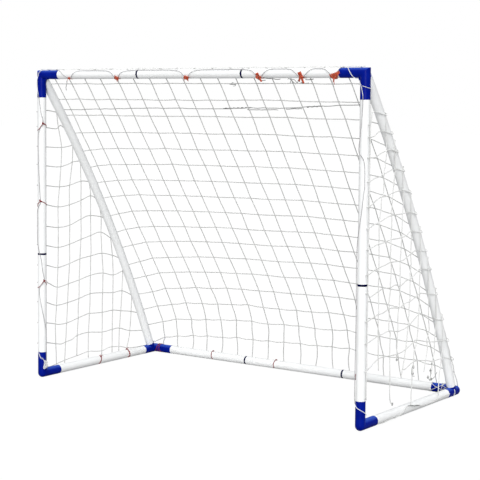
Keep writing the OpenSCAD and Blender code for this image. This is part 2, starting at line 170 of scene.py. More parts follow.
def stay_side(side, s, turn_out, r=NET_R):
    """A point beside a stay at path distance s: turn_out 0 is straight behind it, 90 its outer side."""
    a = math.radians(turn_out)
    out = unit(net_turn(s))
    if s < AT_STAY:
        base = TOP
    elif s < AT_FREE:
        base = CENTRE + STAY_R * out
    else:
        base = net_point(s, -NET_R)
    return np.array([side * (SIDE_X + r * math.sin(a)), *(base + out * r * math.cos(a))])


# Points round a tube: turn 0 faces straight ahead, and 90 is up on a bar and to +x on an upright


def on_bar(x, turn, r=NET_R, y=FRONT_Y, z=BAR_Z):
    a = math.radians(turn)
    return np.array([x, y - r * math.cos(a), z + r * math.sin(a)])


def on_rear(x, turn, r=NET_R):
    return on_bar(x, turn, r, REAR_Y, GROUND_Z)


def on_post(side, z, turn, r=NET_R):
    a = math.radians(turn)
    return np.array([side * SIDE_X + r * math.sin(a), FRONT_Y - r * math.cos(a), z])


def on_base(side, y, turn, r=NET_R):
    """Round a ground tube: turn 0 is its inner side, 90 its top, 180 its outer side."""
    a = math.radians(turn)
    return np.array([side * (SIDE_X - r * math.cos(a)), y, GROUND_Z + r * math.sin(a)])


# --- mesh helpers


def catmull(points, steps):
    """A smooth curve through the points, with this many steps between each two."""
    p = np.asarray(points, float)
    a = np.vstack([p[:1], p[:-1]])
    c = np.vstack([p[1:], p[-1:]])
    d = np.vstack([p[2:], p[-1:], p[-1:]])
    out = []
    for k in range(len(p) - 1):
        for i in range(steps):
            t = i / steps
            b = p[k]
            out.append(b + (c[k] - a[k]) * t / 2 + (2 * a[k] - 5 * b + 4 * c[k] - d[k]) * t * t / 2
                       + (3 * b - a[k] - 3 * c[k] + d[k]) * t ** 3 / 2)
    out.append(p[-1])
    return np.array(out)


def frames(p, hint=None):
    """Unit tangents and two normals at each point; hint is a list of outward directions."""
    t = np.gradient(p, axis=0)
    t /= np.maximum(np.linalg.norm(t, axis=1, keepdims=True), 1e-12)
    n = np.empty_like(t)
    if hint is not None:
        n[:] = hint
        n -= t * np.sum(n * t, axis=1, keepdims=True)
        n /= np.maximum(np.linalg.norm(n, axis=1, keepdims=True), 1e-12)
    else:
        v = np.cross(t[0], [0.31, 0.83, 0.43])
        for k in range(len(p)):
            v = v - t[k] * np.dot(v, t[k])
            v /= max(np.linalg.norm(v), 1e-12)
            n[k] = v
    return t, n, np.cross(t, n)


def section(sides, power=1.0):
    """A closed outline of radius 1: round, or nearer to a square at a lower power."""
    a = np.arange(sides) / sides * 2 * math.pi
    c = np.stack([np.cos(a), np.sin(a)], axis=1)
    return np.sign(c) * np.abs(c) ** power


class Strands:
    """Collects swept strands into one mesh with UVs: u round the strand, v metres along it."""

    def __init__(self):
        self.verts, self.faces, self.uvs, self.n = [], [], [], 0

    def add(self, points, r, thick=None, hint=None, sides=7, taper=1.0, closed=False):
        """r is the radius or half width, a number or one per point; thick the half thickness along hint;
        taper scales r at an open strand's ends."""
        p = np.asarray(points, float)
        n = len(p)
        t, nrm, bi = frames(p, hint)
        if closed:
            t = np.roll(p, -1, 0) - np.roll(p, 1, 0)
            t /= np.linalg.norm(t, axis=1, keepdims=True)
            if hint is None:
                nrm = nrm - t * np.sum(nrm * t, axis=1, keepdims=True)
                nrm /= np.linalg.norm(nrm, axis=1, keepdims=True)
            bi = np.cross(t, nrm)
        sec = section(sides, 1.0 if thick is None else 0.45)
        wide = np.broadcast_to(np.asarray(r, float), (n,)).copy()
        deep = wide if thick is None else np.full(n, thick, float)
        if not closed:
            wide[[0, -1]] *= taper
        ring = (p[:, None, :] + bi[:, None, :] * (sec[None, :, 0:1] * wide[:, None, None])
                + nrm[:, None, :] * (sec[None, :, 1:2] * deep[:, None, None]))
        base = self.n
        self.verts.append(ring.reshape(-1, 3))
        self.n += n * sides
        loop = p if not closed else np.vstack([p, p[:1]])
        length = np.concatenate([[0], np.cumsum(np.linalg.norm(np.diff(loop, axis=0), axis=1))])
        for k in range(len(loop) - 1):
            here, there = base + k * sides, base + (k + 1) % n * sides
            for a in range(sides):
                b = (a + 1) % sides
                self.faces.append((here + a, here + b, there + b, there + a))
                u1, u2 = a / sides, (a + 1) / sides
                v1, v2 = length[k], length[k + 1]
                self.uvs.append(((u1, v1), (u2, v1), (u2, v2), (u1, v2)))
        if not closed:
            for k, order in ((0, range(sides - 1, -1, -1)), (n - 1, range(sides))):
                self.faces.append(tuple(base + k * sides + a for a in order))
                self.uvs.append(tuple((a / sides, length[k]) for a in order))

    def knot(self, centre, normal, along, size, r, flatten=0.8, turns=36, spin=0.0, sides=7):
        """A tied overhand knot: a closed trefoil, flattened along normal."""
        normal = np.asarray(normal, float) / np.linalg.norm(normal)
        along = along - normal * np.dot(along, normal)
        along /= np.linalg.norm(along)
        t = 2 * math.pi * np.arange(turns)[:, None] / turns + spin
        u = (np.sin(t) + 2 * np.sin(2 * t)) / 3 * size
        v = (np.cos(t) - 2 * np.cos(2 * t)) / 3 * size
        w = -np.sin(3 * t) / 3 * size * flatten
        self.add(centre + along * u + np.cross(normal, along) * v + normal * w, r, sides=sides, closed=True)

    def make(self, name, material, slot, replaces=()):
        mesh = bpy.data.meshes.new(name)
        mesh.from_pydata(np.vstack(self.verts).tolist(), [], self.faces)
        flat = [c for face in self.uvs for pair in face for c in pair]
        mesh.uv_layers.new(name="UVMap").data.foreach_set("uv", flat)
        mesh.polygons.foreach_set("use_smooth", [True] * len(mesh.polygons))
        mesh.validate()
        mesh.update()
        obj = put_in_scene(name, mesh)
        obj.data.materials.append(material)
        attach(obj, "root")
        if replaces:
            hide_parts(*replaces)


# --- materials


def fresh_tree(owner):
    owner.use_nodes = True
    owner.node_tree.nodes.clear()
    return owner.node_tree


class Look:
    """A material with one Principled shader, and short calls for the nodes that feed it."""

    def __init__(self, name):
        self.mat = bpy.data.materials.new(name)
        self.tree = fresh_tree(self.mat)
        self.shader = self.new("ShaderNodeBsdfPrincipled")
        self.put(self.new("ShaderNodeOutputMaterial").inputs[0], self.shader.outputs[0])
        self.coord = self.new("ShaderNodeTexCoord")

    def new(self, kind, **values):
        node = self.tree.nodes.new(kind)
        for key, value in values.items():
            setattr(node, key, value)
        return node

    def put(self, socket, value):
        """Sets a socket to a number or a colour, or links it."""
        if isinstance(value, (int, float)):
            socket.default_value = value
        elif isinstance(value, tuple):
            socket.default_value = (*value, 1)
        else:
            self.tree.links.new(value, socket)

    def to(self, name, value):
        self.put(self.shader.inputs[name], value)

    def split(self, vector):
        node = self.new("ShaderNodeSeparateXYZ")
        self.put(node.inputs[0], vector)
        return node.outputs

    def noise(self, scale, detail, rough, stretch=(1, 1, 1), tilt=0.0):
        place = self.new("ShaderNodeMapping")
        place.inputs["Scale"].default_value = stretch
        place.inputs["Rotation"].default_value = (tilt, 0, 0)
        self.put(place.inputs[0], self.coord.outputs["Object"])
        node = self.new("ShaderNodeTexNoise")
        values = {"Scale": scale, "Detail": detail, "Roughness": rough, "Vector": place.outputs[0]}
        for name, value in values.items():
            self.put(node.inputs[name], value)
        return node.outputs["Fac"]

    def ramp(self, fac, *stops):
        node = self.new("ShaderNodeValToRGB")
        for element, (at, colour) in zip(node.color_ramp.elements, stops):
            element.position = at
            element.color = (*colour, 1)
        self.put(node.inputs[0], fac)
        return node.outputs[0]

    def step(self, fac, low, high):
        return self.ramp(fac, (low, (0, 0, 0)), (high, (1, 1, 1)))

    def math(self, op, *values):
        node = self.new("ShaderNodeMath", operation=op)
        for socket, value in zip(node.inputs, values):
            self.put(socket, value)
        return node.outputs[0]

    def sum(self, a, part_a, b, part_b):
        return self.math("ADD", self.math("MULTIPLY", a, part_a), self.math("MULTIPLY", b, part_b))

    def mix(self, fac, a, b, blend="MIX"):
        node = self.new("ShaderNodeMix", data_type="RGBA", blend_type=blend)
        for k, value in ((0, fac), (6, a), (7, b)):
            self.put(node.inputs[k], value)
        return node.outputs[2]

    def bump(self, height, strength, distance):
        node = self.new("ShaderNodeBump")
        for name, value in (("Strength", strength), ("Distance", distance), ("Height", height)):
            self.put(node.inputs[name], value)
        self.to("Normal", node.outputs[0])


STAY_TILT = math.radians(-37)  # the stays' draw lines follow their slope


def pvc(name, along):
    """Extruded white tube: faint draw lines along it, scuffs, a little dust."""
    m = Look(name)
    stretch = {"x": (3, 260, 260), "y": (260, 3, 260)}.get(along, (260, 260, 3))
    lines = m.noise(1.0, 2, 0.6, stretch, STAY_TILT if along == "stay" else 0.0)
    scuff = m.noise(120, 6, 0.75)
    tint = m.ramp(m.noise(9, 4, 0.6), (0.3, (0.85, 0.855, 0.85)), (0.7, (0.89, 0.895, 0.895)))
    m.to("Base Color", m.mix(m.math("MULTIPLY", m.step(scuff, 0.60, 0.74), 0.30), tint, (0.70, 0.71, 0.70)))
    m.to("Roughness", m.math("MULTIPLY_ADD", scuff, 0.22, 0.22))
    m.to("Specular IOR Level", 0.45)
    m.bump(m.sum(lines, 0.7, scuff, 0.3), 0.25, 0.0004)
    return m.mat


def moulded(name, low, high, rough, worn, gloss, painted_top_light):
    """Moulded plastic: a fine skin, slight colour drift, paler scuffs, and a painted highlight: a lighter
    colour on what faces up.
    """
    m = Look(name)
    scuff = m.noise(150, 6, 0.8, (1, 1, 2.2))
    tint = m.ramp(m.noise(22, 4, 0.55), (0.32, low), (0.68, high))
    # painted highlight: faces turned up get the lighter painted_top_light colour
    up = m.split(m.new("ShaderNodeNewGeometry").outputs["Normal"])[2]
    tint = m.mix(m.step(up, 0.45, 1.0), tint, painted_top_light)
    m.to("Base Color", m.mix(m.math("MULTIPLY", m.step(scuff, 0.62, 0.78), 0.35), tint, worn))
    m.to("Roughness", m.math("MULTIPLY_ADD", scuff, 0.25, rough))
    m.to("Specular IOR Level", gloss)
    m.bump(m.sum(m.noise(900, 2, 0.5), 0.5, scuff, 0.5), 0.2, 0.0003)
    return m.mat


def twisted(name, dark, pale, plies, pitch):
    """Laid twine: plies wind round the strand, with painted shade in the valleys between them, and loose
    fibres.
    """
    m = Look(name)
    u, v = m.split(m.coord.outputs["UV"])[:2]
    phase = m.sum(u, plies, v, 1.0 / pitch)
    wave = m.math("ABSOLUTE", m.math("SINE", m.math("MULTIPLY", phase, math.pi)))
    dirt = m.ramp(m.noise(14, 3, 0.5), (0.35, (0.90, 0.90, 0.89)), (0.65, (1, 1, 1)))
    # painted shade: the dark colour in the valleys between the plies, the pale one on their crowns
    m.to("Base Color", m.mix(1.0, m.mix(wave, dark, pale), dirt, "MULTIPLY"))
    m.to("Roughness", 0.85)
    m.to("Specular IOR Level", 0.2)
    m.to("Sheen Weight", 0.15)
    m.bump(m.math("ADD", wave, m.math("MULTIPLY", m.noise(700, 3, 0.7), 0.25)), 0.7, 0.0004)
    return m.mat


def woven(name, dark, pale):
    """Flat ribbon: a plain weave, with 18 warp threads and a weft pitch of 0.9 mm, and painted shade where
    the threads dip.
    """
    m = Look(name)
    u, v = m.split(m.coord.outputs["UV"])[:2]
    warp = m.math("SINE", m.math("MULTIPLY", u, 2 * math.pi * 18))
    weft = m.math("SINE", m.math("MULTIPLY", v, 2 * math.pi / 0.0009))
    weave = m.math("MULTIPLY_ADD", m.math("MULTIPLY", warp, weft), 0.5, 0.5)
    shade = m.ramp(m.noise(160, 3, 0.6), (0.36, (0.40, 0.42, 0.44)), (0.60, (1, 1, 1)))
    # painted shade: the dark colour where the weave's threads dip, the pale one on their crowns
    m.to("Base Color", m.mix(1.0, m.mix(weave, dark, pale), shade, "MULTIPLY"))
    m.to("Roughness", 0.62)
    m.to("Sheen Weight", 0.2)
    m.bump(weave, 0.6, 0.0003)
    return m.mat


PVC = {k: pvc("pvc_" + k, k) for k in ("x", "y", "z", "stay")}
# The last colour of each is a painted highlight for the faces turned up
BLUE = moulded("blue_plastic", (0.0004, 0.006, 0.200), (0.0008, 0.011, 0.255), 0.22,
               (0.010, 0.045, 0.44), 0.045,
               (0.030, 0.085, 0.48))
NAVY = moulded("navy_plastic", (0.0006, 0.0010, 0.028), (0.0012, 0.0020, 0.042), 0.34,
               (0.005, 0.010, 0.07), 0.03,
               (0.003, 0.005, 0.060))
TWINE = twisted("net_twine_white", (0.50, 0.50, 0.49), (0.66, 0.66, 0.65), 3, 0.0052)
# A paler copy of the same white twine for the right side net: painted light
TWINE_LIT_COPY = twisted("net_twine_lit_copy", (0.64, 0.64, 0.63), (0.80, 0.80, 0.79), 3, 0.0052)
HEM = twisted("net_hem_white", (0.74, 0.74, 0.73), (0.90, 0.90, 0.89), 3, 0.0052)
SEAM = twisted("net_seam_grey", (0.26, 0.265, 0.26), (0.42, 0.425, 0.42), 3, 0.006)
LACING = twisted("seam_lacing_dark", (0.015, 0.016, 0.015), (0.05, 0.052, 0.05), 3, 0.004)
# The mouth cord is white: the grey copy is painted shade where it lies on the white tubes, the white copy is
# its own colour over the blue fittings
CORD = twisted("edge_cord_painted_shade", (0.30, 0.292, 0.30), (0.50, 0.488, 0.50), 4, 0.0045)
WHITE_CORD = twisted("edge_cord_white", (0.66, 0.67, 0.70), (0.88, 0.89, 0.92), 4, 0.0045)
RIBBON = woven("orange_ribbon", (0.42, 0.034, 0.007), (0.72, 0.096, 0.018))
RED = twisted("red_twine", (0.13, 0.005, 0.008), (0.29, 0.016, 0.021), 3, 0.0035)
WHITE = twisted("white_lashing_cord", (0.62, 0.62, 0.62), (0.84, 0.84, 0.85), 4, 0.0045)

# --- CAD parts that stay
NODE_LOOKS = (("corner", BLUE), ("crossbar", PVC["x"]), ("rear_bar", PVC["x"]), ("upright", PVC["z"]),
              ("side_base", PVC["y"]), ("stay", PVC["stay"]))
for name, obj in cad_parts.items():
    looks = [NAVY] if "coupler" in name else [look for start, look in NODE_LOOKS if name.startswith(start)]
    for slot in obj.material_slots if looks else ():
        slot.material = looks[0]

# --- the back net
rnd = random.Random(11)


def wobble(a):
    return rnd.uniform(-a, a)


def curve(table, t):
    xs, ys = zip(*table)
    return float(np.interp(t, xs, ys))


def rise(t, start, length):
    return min(max((t - start) / length, 0), 1)


# Columns where they leave the crossbar; lower down they lean to the right, most in the middle
COLUMN_X = [-0.696, -0.620, -0.539, -0.458, -0.377, -0.297, -0.217, -0.137, -0.059, 0.021, 0.100, 0.180,
            0.258, 0.336, 0.415, 0.493, 0.571, 0.647, 0.716]
ROW_S = [0.060, 0.135, 0.210, 0.288, 0.363, 0.437, 0.512, 0.585, 0.658, 0.733, 0.803, 0.877, 0.950, 1.030,
         1.110, 1.192, 1.283]
LEAN = [(0, -0.003), (0.13, -0.002), (0.315, 0), (0.53, 0.009), (0.75, 0.029), (0.98, 0.058), (1.11, 0.060),
        (1.19, 0.054), (1.29, 0.028), (1.39, -0.002)]
LEAN_PART = [(-0.73, 0.66), (-0.60, 0.88), (-0.46, 1.0), (0.0, 1.0), (0.26, 0.8), (0.34, 0.62), (0.49, 0.36),
             (0.65, 0.15), (0.73, 0.0)]
# How far the rows slide down at x, left and right of the middle, and how much of it at s
LEFT_DROP = [(-0.733, 0.088), (-0.690, 0.063), (-0.650, 0.049), (-0.582, 0.034), (-0.40, 0.015),
             (-0.24, 0.004), (0, 0)]
RIGHT_SAG = [(0.50, 0), (0.55, 0.003), (0.60, 0.012), (0.64, 0.028), (0.66, 0.041), (0.70, 0.067),
             (0.733, 0.085)]
RIGHT_SAG_TOP = [(0.64, 0), (0.68, 0.018), (0.717, 0.038), (0.733, 0.046)]
SAG_PART = [(0.06, 0), (0.14, 0.2), (0.21, 0.5), (0.29, 1.0), (0.95, 1.0), (1.10, 0.75), (1.28, 0.35)]
RIGHT_DROP = [(0, 0), (0.15, -0.004), (0.25, -0.008), (0.35, -0.002), (0.5, 0.002), (0.74, 0.006)]
RIGHT_DROP_PART = [(0.1, 0.3), (0.7, 1.0), (1.3, 1.2)]
DROP_PART = [(0.17, 0), (0.29, 0.15), (0.36, 0.32), (0.44, 0.40), (0.58, 0.45), (0.66, 0.66), (0.80, 0.82),
             (0.88, 1.0),
             (1.3, 1.0)]
SEAM_LINE = [(-0.733, 0.187), (-0.30, 0.173), (0.06, 0.172), (0.19, 0.167), (0.31, 0.167), (0.43, 0.160),
             (0.49, 0.156), (0.66, 0.148), (0.733, 0.146)]
# Where the back and side nets are joined round each stay, in degrees from straight behind it
JOIN = {-1: 45, 1: 6}


def lean(x, s):
    return curve(LEAN, s) * curve(LEAN_PART, x)


def end_drop(x, s):
    """How far a row has slid down towards each stay, and its small rise on the right."""
    if x < 0:
        return curve(LEFT_DROP, x) * curve(DROP_PART, s)
    low = rise(s, 0.29, 0.29)
    sag = (curve(RIGHT_SAG, x) * low + curve(RIGHT_SAG_TOP, x) * (1 - low)) * curve(SAG_PART, s)
    return curve(RIGHT_DROP, x) * curve(RIGHT_DROP_PART, s) + sag


def slack(s):
    """0 on the upper rows, growing to 1 at the foot, where the net hangs loosest."""
    return rise(s, 0.95, 0.40)


def net_knot(strands, at, normal, along):
    """The small knot where two strands of a net cross."""
    strands.knot(at, normal, along, 0.0024, 0.00105, 0.5, 18, wobble(3), 5)


NODE = {}
for j, s0 in enumerate(ROW_S):
    for i, x0 in enumerate(COLUMN_X):
        loose = slack(s0)
        s = s0 + AT_STAY + end_drop(x0, s0) + wobble(0.0018 + 0.004 * loose)
        x = x0 + lean(x0, s0) + wobble(0.0018 + 0.0035 * loose)
        lift = 0.001 + abs(wobble(0.0012 + 0.003 * loose))
        NODE[i, j] = (x, s, lift)

back = Strands()
for i, x0 in enumerate(COLUMN_X):
    x_top = x0 - 0.003
    pts = [net_xyz(x_top + wobble(0.001), s) for s in (0.0, 0.006, 0.012, AT_STAY)]
    last = (x_top, AT_STAY, 0)
    for j, s0 in enumerate(ROW_S):
        x, s, lift = NODE[i, j]
        x_mid = (x + last[0]) / 2 + wobble(0.0009 + 0.004 * slack(s0))
        pts.append(net_xyz(x_mid, (s + last[1]) / 2, (lift + last[2]) / 2))
        pts.append(net_xyz(x, s, lift))
        last = (x, s, lift)
    x_end = x0 + lean(x0, 1.39) + wobble(0.004)
    pts.append(net_xyz((last[0] + x_end) / 2 + wobble(0.005), (last[1] + AT_REAR) / 2))
    pts += [net_xyz(x_end, AT_REAR + (NET_LEN - AT_REAR) * k / 5) for k in range(6)]
    back.add(catmull(pts, 3), TWINE_R)

for j, s0 in enumerate(ROW_S):
    s_left, s_right = (s0 + AT_STAY + end_drop(x, s0) for x in (-SIDE_X, SIDE_X))
    pts = [stay_side(-1, s_left, turn) for turn in (JOIN[-1], 25, 8)]
    for i in range(len(COLUMN_X)):
        x, s, lift = NODE[i, j]
        if i:
            px, ps, pl = NODE[i - 1, j]
            dip = 0.0006 + 0.006 * slack(s0) * abs(wobble(1))
            pts.append(net_xyz((x + px) / 2, (s + ps) / 2 + dip, (lift + pl) / 2))
        pts.append(net_xyz(x, s, lift))
    pts += [stay_side(1, s_right, turn) for turn in (2, 4, JOIN[1])]
    back.add(catmull(pts, 3), TWINE_R)

for x, s, lift in NODE.values():
    net_knot(back, net_xyz(x, s, lift), (0, *unit(net_turn(s))), (1, 0, 0.2 * wobble(1)))
back.make("net_back_twine", TWINE, "net_twine", ["net_back"])


# Seam row, where two pieces of net are laced together, and the dark lacing on it
def seam_xyz(x, lower=0.0, lift=0.0012):
    return below_bar(x, curve(SEAM_LINE, x) + lower, lift)


seam = Strands()
seam.add(catmull([seam_xyz(x, wobble(0.0014)) for x in np.linspace(-SIDE_X, SIDE_X, 61)], 2), 0.0015)
seam.make("net_seam_row", SEAM, "net_twine")

lacing = Strands()
for x0, x1, off, r in ((0.063, 0.192, 0.0, 0.0018), (0.430, 0.495, 0.001, 0.0019)):
    n = int((x1 - x0) / 0.006)
    pts = [seam_xyz(x0 + (x1 - x0) * k / n, off + 0.0012 * math.sin(2.1 * k), 0.0024) for k in range(n + 1)]
    lacing.add(catmull(pts, 3), r, taper=0.36)
for x, s in ((0.349, 0.042), (0.460, 0.059), (0.285, 0.046), (0.150, 0.064)):
    pts = [below_bar(x + dx, s + ds, lift) for dx, ds, lift in
           ((-0.016, -0.003, 0.002), (0, 0.002, 0.004), (0.018, -0.001, 0.002))]
    lacing.add(catmull(pts, 6), 0.0011, sides=6, taper=0.25)
for (x0, t0), (x1, t1) in (((0.332, -42), (0.367, -57)), ((0.497, -86), (0.537, -64))):
    pts = [on_bar(x0, t0, NET_R + 0.002), on_bar((x0 + x1) / 2, (t0 + t1) / 2, NET_R + 0.003),
           on_bar(x1, t1, NET_R + 0.002)]
    lacing.add(catmull(pts, 6), 0.0012, sides=6, taper=0.25)
lacing.make("net_lacing_dark", LACING, "net_twine")

# Grey ends of the lacing, a loose end on the left and small loops, as [x, s] on the back net
grey = Strands()
for x0, x1, off in ((0.170, 0.306, 0.008), (0.340, 0.410, 0.006)):
    pts = [seam_xyz(x, off + wobble(0.0012), 0.0020) for x in np.linspace(x0, x1, 14)]
    grey.add(catmull(pts, 3), 0.0015, taper=0.36)
loose_end = ((-0.640, 0.044, 0.001), (-0.650, 0.060, 0.003), (-0.664, 0.078, 0.002), (-0.668, 0.092, 0.001))
grey.add(catmull([below_bar(*p) for p in loose_end], 6), 0.0013, taper=0.36)
for loop in (((0.396, 0.042), (0.404, 0.040), (0.414, 0.052), (0.421, 0.061), (0.432, 0.056), (0.439, 0.044)),
             ((0.400, 0.058), (0.410, 0.046), (0.421, 0.043), (0.428, 0.056), (0.420, 0.064)),
             ((0.146, 0.062), (0.154, 0.056), (0.163, 0.062), (0.160, 0.070), (0.150, 0.071))):
    grey.add(catmull([below_bar(x, s, 0.002) for x, s in loop], 6), 0.0011, sides=6, taper=0.36)
grey.make("net_lacing_grey", SEAM, "net_twine")

# Hem cords along the crossbar and the rear bar
hems = Strands()
for s, loose, lift in ((0.0, 0.0008, 0.0006), (NET_LEN, 0.0003, 0.0004)):
    hems.add([net_xyz(x, s + wobble(loose), lift) for x in np.linspace(-SIDE_X, SIDE_X, 61)], HEM_R)
hems.make("net_hem_cords", HEM, "net_twine")

# --- the side nets
SIDE_PLANE = SIDE_X + NET_R
LOWEST_Z = 0.0082  # no column's end goes below this
SEAM_GAP = 0.020  # from a side net's own points to the stay's seam
ROW_GAP, COLUMN_GAP = 0.012, 0.010  # closer points on a strand are left out


def bisect(lo, hi, too_low):
    """The place between lo and hi where too_low turns from true to false."""
    for _ in range(40):
        mid = (lo + hi) / 2
        if too_low(mid):
            lo = mid
        else:
            hi = mid
    return lo


def net_back_at(z, lift=0.0):
    """[s, y] of the back net's path at height z."""
    at = bisect(AT_STAY, NET_LEN, lambda s: net_point(s, lift)[1] > z)
    return at, net_point(at, lift)[0]


def stay_y(z):
    """y of the seam beside the stay at height z."""
    return stay_side(1, net_back_at(z, -NET_R * 0.3)[0], JOIN[-1])[1]


# Each strand of a side net in mm: rows as [behind the upright, height], columns as [height, behind]
LEFT_ROWS = [
    [(0, 1040), (47, 1045), (122, 1050)],
    [(0, 982), (47, 978), (100, 972), (130, 985)],
    [(0, 904), (59, 900), (134, 897), (205, 915)],
    [(0, 832), (47, 825), (122, 818), (182, 830), (239, 850)],
    [(0, 750), (51, 745), (122, 738), (182, 742), (250, 755), (300, 762)],
    [(0, 676), (47, 670), (122, 655), (182, 662), (257, 678), (310, 692), (350, 690)],
    [(0, 588), (55, 582), (122, 573), (182, 578), (250, 598), (302, 610), (380, 600)],
    [(0, 514), (47, 505), (122, 492), (182, 500), (250, 515), (310, 525), (374, 535), (445, 510)],
    [(0, 432), (47, 425), (115, 410), (182, 420), (242, 433), (310, 440), (385, 445), (452, 430), (500, 426)],
    [(0, 362), (51, 355), (111, 330), (242, 347), (310, 360), (385, 362), (456, 345), (520, 358)],
    [(0, 285), (47, 275), (115, 253), (242, 270), (310, 282), (385, 278), (460, 270), (512, 272),
     (576, 245), (620, 240)],
    [(0, 200), (59, 190), (115, 178), (168, 178), (239, 190), (280, 197), (310, 200), (385, 195), (452, 195),
     (509, 185), (572, 175), (660, 170)],
    [(0, 118), (47, 112), (130, 95), (198, 105), (231, 117), (302, 120), (385, 110), (452, 113), (498, 113),
     (565, 92), (690, 90)]]
LEFT_COLUMNS = [
    [(1030, 107), (970, 118), (900, 134), (816, 131), (660, 115), (460, 115), (260, 104), (180, 96),
     (90, 100), (14, 104)],
    [(895, 209), (740, 182), (656, 182), (420, 181), (200, 165), (95, 156), (14, 151)],
    [(840, 256), (740, 251), (520, 250), (410, 242), (240, 235), (30, 224)],
    [(755, 310), (700, 310), (460, 312), (250, 306), (120, 297), (14, 295)],
    [(640, 374), (500, 377), (400, 387), (240, 385), (14, 381)],
    [(510, 445), (350, 454), (120, 449), (14, 447)],
    [(360, 518), (240, 509), (100, 494), (14, 490)],
    [(270, 582), (240, 576), (90, 565), (60, 560), (14, 542)]]
LEFT_HEM = [(24, 26), (60, 12), (134, 22), (200, 30), (243, 34), (295, 40), (340, 34), (385, 30),
            (430, 38), (498, 32),
            (542, 20), (600, 14), (690, 12)]
RIGHT_ROWS = [
    [(0, 1014), (13, 1044), (25, 1056)],
    [(0, 972), (28, 976), (70, 992)],
    [(0, 904), (40, 906), (70, 916), (106, 924), (142, 928)],
    [(0, 824), (34, 834), (70, 840), (106, 848), (172, 861)],
    [(0, 740), (19, 748), (52, 762), (85, 770), (124, 771), (166, 780), (226, 786)],
    [(0, 668), (34, 680), (67, 684), (115, 696), (160, 704), (235, 704), (280, 706)],
    [(0, 598), (55, 610), (100, 612), (160, 620), (235, 622), (268, 628), (295, 638)],
    [(0, 512), (52, 526), (82, 532), (115, 536), (160, 542), (229, 540), (256, 544), (295, 558), (340, 566)],
    [(0, 452), (17, 437), (55, 447), (111, 457), (156, 455), (190, 460), (224, 452), (272, 467), (299, 470),
     (347, 490), (378, 497)],
    [(0, 356), (62, 370), (111, 372), (149, 382), (190, 380), (224, 375), (265, 387), (299, 390),
     (355, 405), (385, 410),
     (440, 400)],
    [(0, 282), (74, 297), (115, 300), (149, 305), (212, 295), (242, 295), (299, 305), (370, 337), (390, 335),
     (450, 315), (500, 300)],
    [(0, 188), (74, 215), (119, 220), (212, 215), (265, 220), (325, 240), (351, 245), (430, 228),
     (500, 218), (560, 215)],
    [(212, 162), (272, 152), (325, 168), (360, 170), (400, 164), (450, 156), (480, 150), (560, 148),
     (600, 142), (640, 138)]]
RIGHT_COLUMNS = [
    [(928, 113), (884, 110), (848, 100), (784, 98), (768, 85), (728, 83), (704, 76), (684, 70), (632, 73),
     (540, 74),
     (390, 76), (310, 77), (178, 83)],
    [(860, 176), (840, 170), (788, 167), (756, 161), (716, 157), (620, 155), (556, 155), (524, 160),
     (440, 156),
     (405, 149), (370, 153), (315, 150), (290, 159), (145, 162), (66, 165), (60, 168), (58, 182), (40, 186)],
    [(740, 238), (704, 233), (668, 233), (636, 229), (580, 230), (540, 226), (490, 226), (395, 224),
     (360, 216),
     (280, 214), (278, 207), (190, 212)],
    [(640, 301), (580, 302), (524, 301), (485, 299), (400, 299), (315, 291), (280, 286), (240, 280),
     (200, 269),
     (165, 257), (135, 248)],
    [(540, 374), (465, 370), (395, 372), (335, 368), (260, 362), (220, 349), (205, 336), (160, 334),
     (130, 329), (90, 325),
     (14, 320)],
    [(420, 440), (335, 443), (265, 452), (235, 436), (200, 441), (150, 422), (120, 415)],
    [(300, 505), (220, 494), (180, 496), (145, 479), (110, 474), (80, 462)],
    [(210, 560), (120, 548), (90, 540), (14, 530)]]
RIGHT_HEM = [(94, -9), (130, -11), (180, -8), (220, -10), (262, 0), (299, 15), (340, 9), (396, 1),
             (430, -3), (500, -2), (580, 2), (628, 3)]


